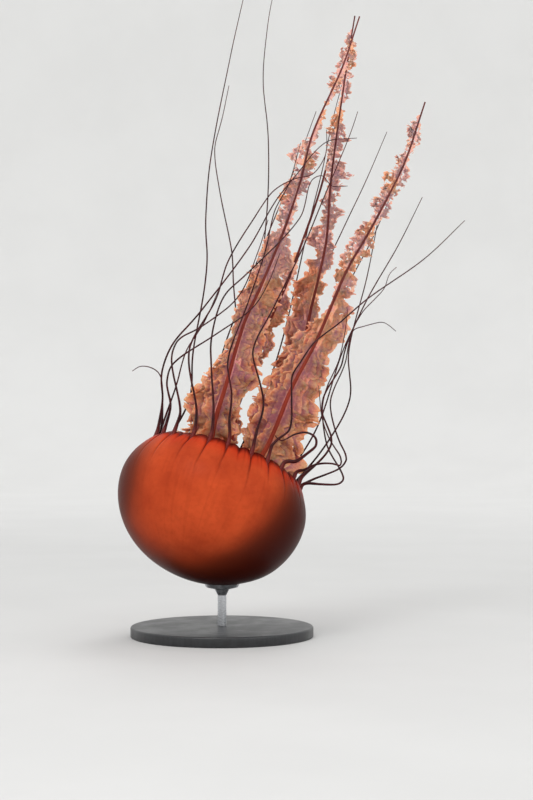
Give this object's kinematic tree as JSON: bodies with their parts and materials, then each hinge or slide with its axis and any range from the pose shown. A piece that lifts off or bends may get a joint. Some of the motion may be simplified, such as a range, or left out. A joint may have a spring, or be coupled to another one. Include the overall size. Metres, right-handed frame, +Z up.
{
  "type": "sea nettle jellyfish display model",
  "caption": "Life-size still model of a Pacific sea nettle swimming bell first and banked, its frilled oral arms and thin tentacles trailing up behind, on a round base with a rod.",
  "frame": {"origin": "centre of the underside of the stand's round base", "axes": "+Z up; +X towards the side that the oral arms and tentacles trail to; -Y is the side the reference view looks at"},
  "size_m": [0.4643, 0.265, 0.9011],
  "materials": {
    "bell": "translucent orange-red jelly, wet gloss, darker red at the margin and grooves",
    "manubrium": "translucent amber jelly, wet",
    "oral_arms": "thin lacy frills, tan to peach, with deep orange stems",
    "tentacles": "very dark maroon, wet gloss",
    "stand_base": "painted charcoal, satin",
    "stand_rod": "brushed steel"
  },
  "bodies": {
    "root": {"stand_base": "stand_base", "stand_rod": "stand_rod", "bell_right": "bell", "bell_front": "bell", "bell_left": "bell", "bell_back": "bell", "manubrium": "manubrium", "oral_arm_1_near": "oral_arms", "oral_arm_1_far": "oral_arms", "oral_arm_2_near": "oral_arms", "oral_arm_2_far": "oral_arms", "oral_arm_3_near": "oral_arms", "oral_arm_3_far": "oral_arms", "oral_arm_4_near": "oral_arms", "oral_arm_4_far": "oral_arms", "tentacle_01_far": "tentacles", "tentacle_01_near": "tentacles", "tentacle_02_far": "tentacles", "tentacle_02_near": "tentacles", "tentacle_03": "tentacles", "tentacle_04": "tentacles", "tentacle_05_far": "tentacles", "tentacle_05_near": "tentacles", "tentacle_06_far": "tentacles", "tentacle_06_near": "tentacles", "tentacle_07_far": "tentacles", "tentacle_07_near": "tentacles", "tentacle_08_far": "tentacles", "tentacle_08_near": "tentacles", "tentacle_09_far": "tentacles", "tentacle_09_near": "tentacles", "tentacle_10_far": "tentacles", "tentacle_10_near": "tentacles", "tentacle_11_far": "tentacles", "tentacle_11_near": "tentacles", "tentacle_12_far": "tentacles", "tentacle_12_near": "tentacles", "tentacle_13": "tentacles", "tentacle_14_far": "tentacles", "tentacle_14_near": "tentacles", "tentacle_15_far": "tentacles", "tentacle_15_near": "tentacles", "tentacle_16_far": "tentacles", "tentacle_16_near": "tentacles", "tentacle_17_far": "tentacles", "tentacle_17_near": "tentacles", "tentacle_18_far": "tentacles", "tentacle_18_near": "tentacles", "tentacle_19_far": "tentacles", "tentacle_19_near": "tentacles", "tentacle_20_far": "tentacles", "tentacle_20_near": "tentacles", "tentacle_21_far": "tentacles", "tentacle_21_near": "tentacles", "tentacle_22_far": "tentacles", "tentacle_22_near": "tentacles", "tentacle_23_far": "tentacles", "tentacle_23_near": "tentacles", "tentacle_24_far": "tentacles", "tentacle_24_near": "tentacles"}
  },
  "joints": []
}
